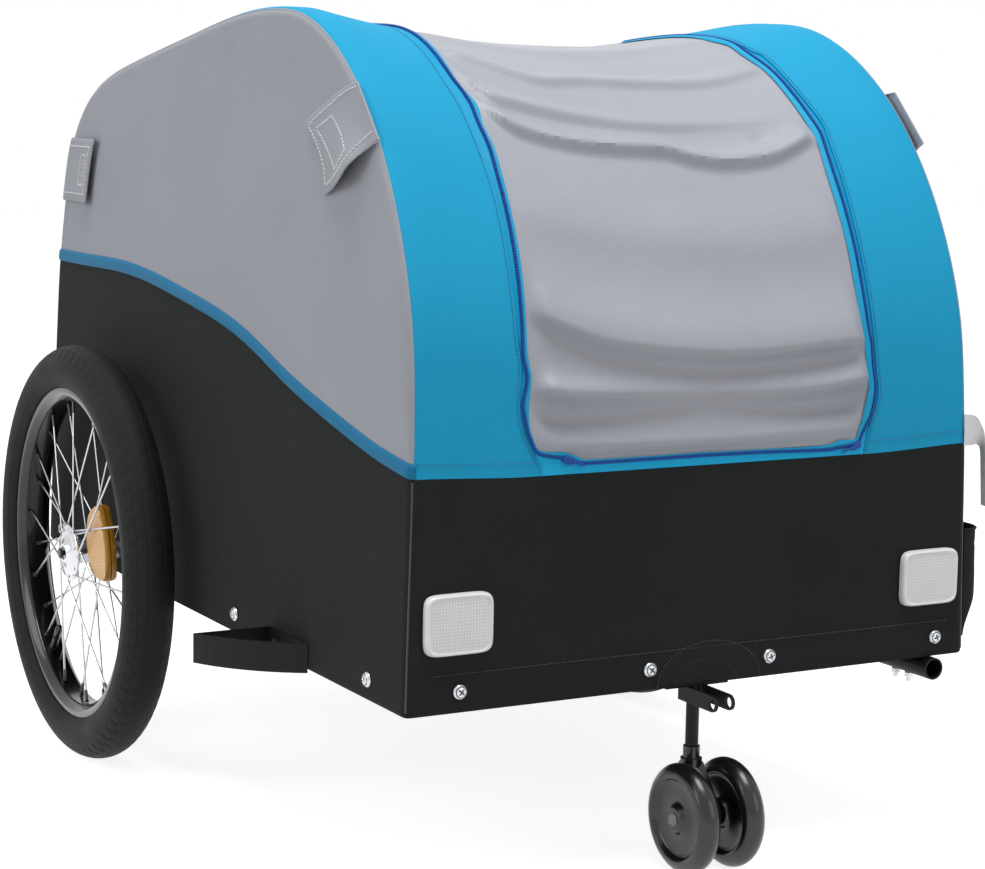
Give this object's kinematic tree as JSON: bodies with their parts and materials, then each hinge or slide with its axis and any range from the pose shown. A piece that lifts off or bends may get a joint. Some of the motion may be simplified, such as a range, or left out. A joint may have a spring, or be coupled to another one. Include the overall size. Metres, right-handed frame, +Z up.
{
  "type": "bicycle trailer",
  "caption": "Cargo trailer for a bicycle with a cloth body over hoops, a zipped front door, spoked road wheels and a swivelling twin-wheel front caster.",
  "frame": {"origin": "On the ground, below the middle of the trailer's overall box.", "axes": "+Z up, -Y to the front where the door is, +X to the trailer's left side where the tow socket is."},
  "size_m": [0.684, 0.8894, 0.7026],
  "materials": {
    "fabric_black": "woven coated polyester, matt",
    "fabric_grey": "woven polyester, matt",
    "fabric_blue": "woven polyester, matt",
    "fabric_piping": "folded webbing, matt",
    "fabric_white": "satin ribbon",
    "steel_black": "powder coated, satin",
    "rim_black": "anodised, semi-gloss",
    "steel_bright": "zinc plated, bright",
    "rubber_tyre": "matt rubber",
    "plastic_black": "glossy moulded",
    "plastic_grey": "moulded",
    "board": "rigid sheet, matt",
    "lens_white": "clear prismatic reflector",
    "lens_amber": "amber prismatic reflector"
  },
  "bodies": {
    "frame": {"axle_beam": "steel_black", "axle_left": "steel_bright", "axle_right": "steel_bright", "belt_bar": "steel_black", "body_piping": "fabric_piping", "caster_bracket": "steel_black", "cover_side_left": "fabric_grey", "cover_side_right": "fabric_grey", "door_surround": "fabric_blue", "door_zip": "fabric_piping", "floor_board": "board", "floor_cloth": "fabric_black", "front_rail": "steel_black", "front_reflector_left": "lens_white", "front_reflector_right": "lens_white", "hoop_left": "steel_black", "hoop_right": "steel_black", "rear_bar": "steel_black", "rear_rail": "steel_black", "rear_upper_panel": "fabric_grey", "roof_panel": "fabric_grey", "side_label": "fabric_white", "side_pocket": "fabric_black", "side_rail_left": "steel_black", "side_rail_right": "steel_black", "tow_bolt_front": "steel_bright", "tow_bolt_rear": "steel_bright", "tow_socket": "steel_black", "tub_front_panel": "fabric_black", "tub_rear_panel": "fabric_black", "tub_side_left": "fabric_black", "tub_side_right": "fabric_black", "wheel_guard_left": "steel_black", "wheel_guard_right": "steel_black"},
    "wheel_right": {"tyre_right": "rubber_tyre", "rim_right": "rim_black", "hub_right": "steel_bright", "spoke_reflector_right": "lens_amber"},
    "wheel_left": {"tyre_left": "rubber_tyre", "rim_left": "rim_black", "hub_left": "steel_bright", "spoke_reflector_left": "lens_amber"},
    "release_button_right": {"release_button_right": "plastic_black"},
    "release_button_left": {"release_button_left": "plastic_black"},
    "caster": {"caster_fork": "plastic_black", "caster_axle": "plastic_grey"},
    "caster_wheel_right": {"caster_wheel_right": "plastic_black"},
    "caster_wheel_left": {"caster_wheel_left": "plastic_black"},
    "door": {"door_panel": "fabric_grey"},
    "front_tab_right": {"front_tab_right": "fabric_grey"},
    "front_tab_left": {"front_tab_left": "fabric_grey"},
    "rear_tab_right": {"rear_tab_right": "fabric_grey"},
    "rear_tab_left": {"rear_tab_left": "fabric_grey"}
  },
  "joints": [
    {"name": "wheel_right_spin", "type": "hinge", "parent": "frame", "child": "wheel_right", "pos_m": [-0.3091, 0.2204, 0.2], "axis": [1, 0, 0], "continuous": true},
    {"name": "wheel_left_spin", "type": "hinge", "parent": "frame", "child": "wheel_left", "pos_m": [0.3091, 0.2204, 0.2], "axis": [1, 0, 0], "continuous": true},
    {"name": "release_right_press", "type": "slide", "parent": "frame", "child": "release_button_right", "axis": [1, 0, 0], "range_m": [0, 0.003], "stiffness_N_per_m": 400, "springref_m": -0.001},
    {"name": "release_left_press", "type": "slide", "parent": "frame", "child": "release_button_left", "axis": [-1, 0, 0], "range_m": [0, 0.003], "stiffness_N_per_m": 400, "springref_m": -0.001},
    {"name": "caster_swivel", "type": "hinge", "parent": "frame", "child": "caster", "pos_m": [0, -0.37818, 0.09851], "axis": [0, -0.0354, 0.9994], "continuous": true},
    {"name": "caster_wheel_right_spin", "type": "hinge", "parent": "caster", "child": "caster_wheel_right", "pos_m": [-0.0215, -0.40009, 0.045], "axis": [1, 0, 0], "continuous": true},
    {"name": "caster_wheel_left_spin", "type": "hinge", "parent": "caster", "child": "caster_wheel_left", "pos_m": [0.0215, -0.40009, 0.045], "axis": [1, 0, 0], "continuous": true},
    {"name": "door_lift", "type": "hinge", "parent": "frame", "child": "door", "pos_m": [0, -0.01405, 0.68783], "axis": [-1, 0, 0], "range_deg": [0, 80]},
    {"name": "front_tab_right_lift", "type": "hinge", "parent": "frame", "child": "front_tab_right", "pos_m": [-0.26187, -0.3108, 0.61122], "axis": [0.0167, 0.7308, 0.6824], "range_deg": [0, 110]},
    {"name": "front_tab_left_lift", "type": "hinge", "parent": "frame", "child": "front_tab_left", "pos_m": [0.26187, -0.3108, 0.61122], "axis": [0.0167, -0.7308, -0.6824], "range_deg": [0, 110]},
    {"name": "rear_tab_right_lift", "type": "hinge", "parent": "frame", "child": "rear_tab_right", "pos_m": [-0.22678, 0.39096, 0.56905], "axis": [-0.0239, 0.3846, -0.9228], "range_deg": [0, 110]},
    {"name": "rear_tab_left_lift", "type": "hinge", "parent": "frame", "child": "rear_tab_left", "pos_m": [0.22678, 0.39096, 0.56905], "axis": [-0.0239, -0.3846, 0.9228], "range_deg": [0, 110]}
  ]
}
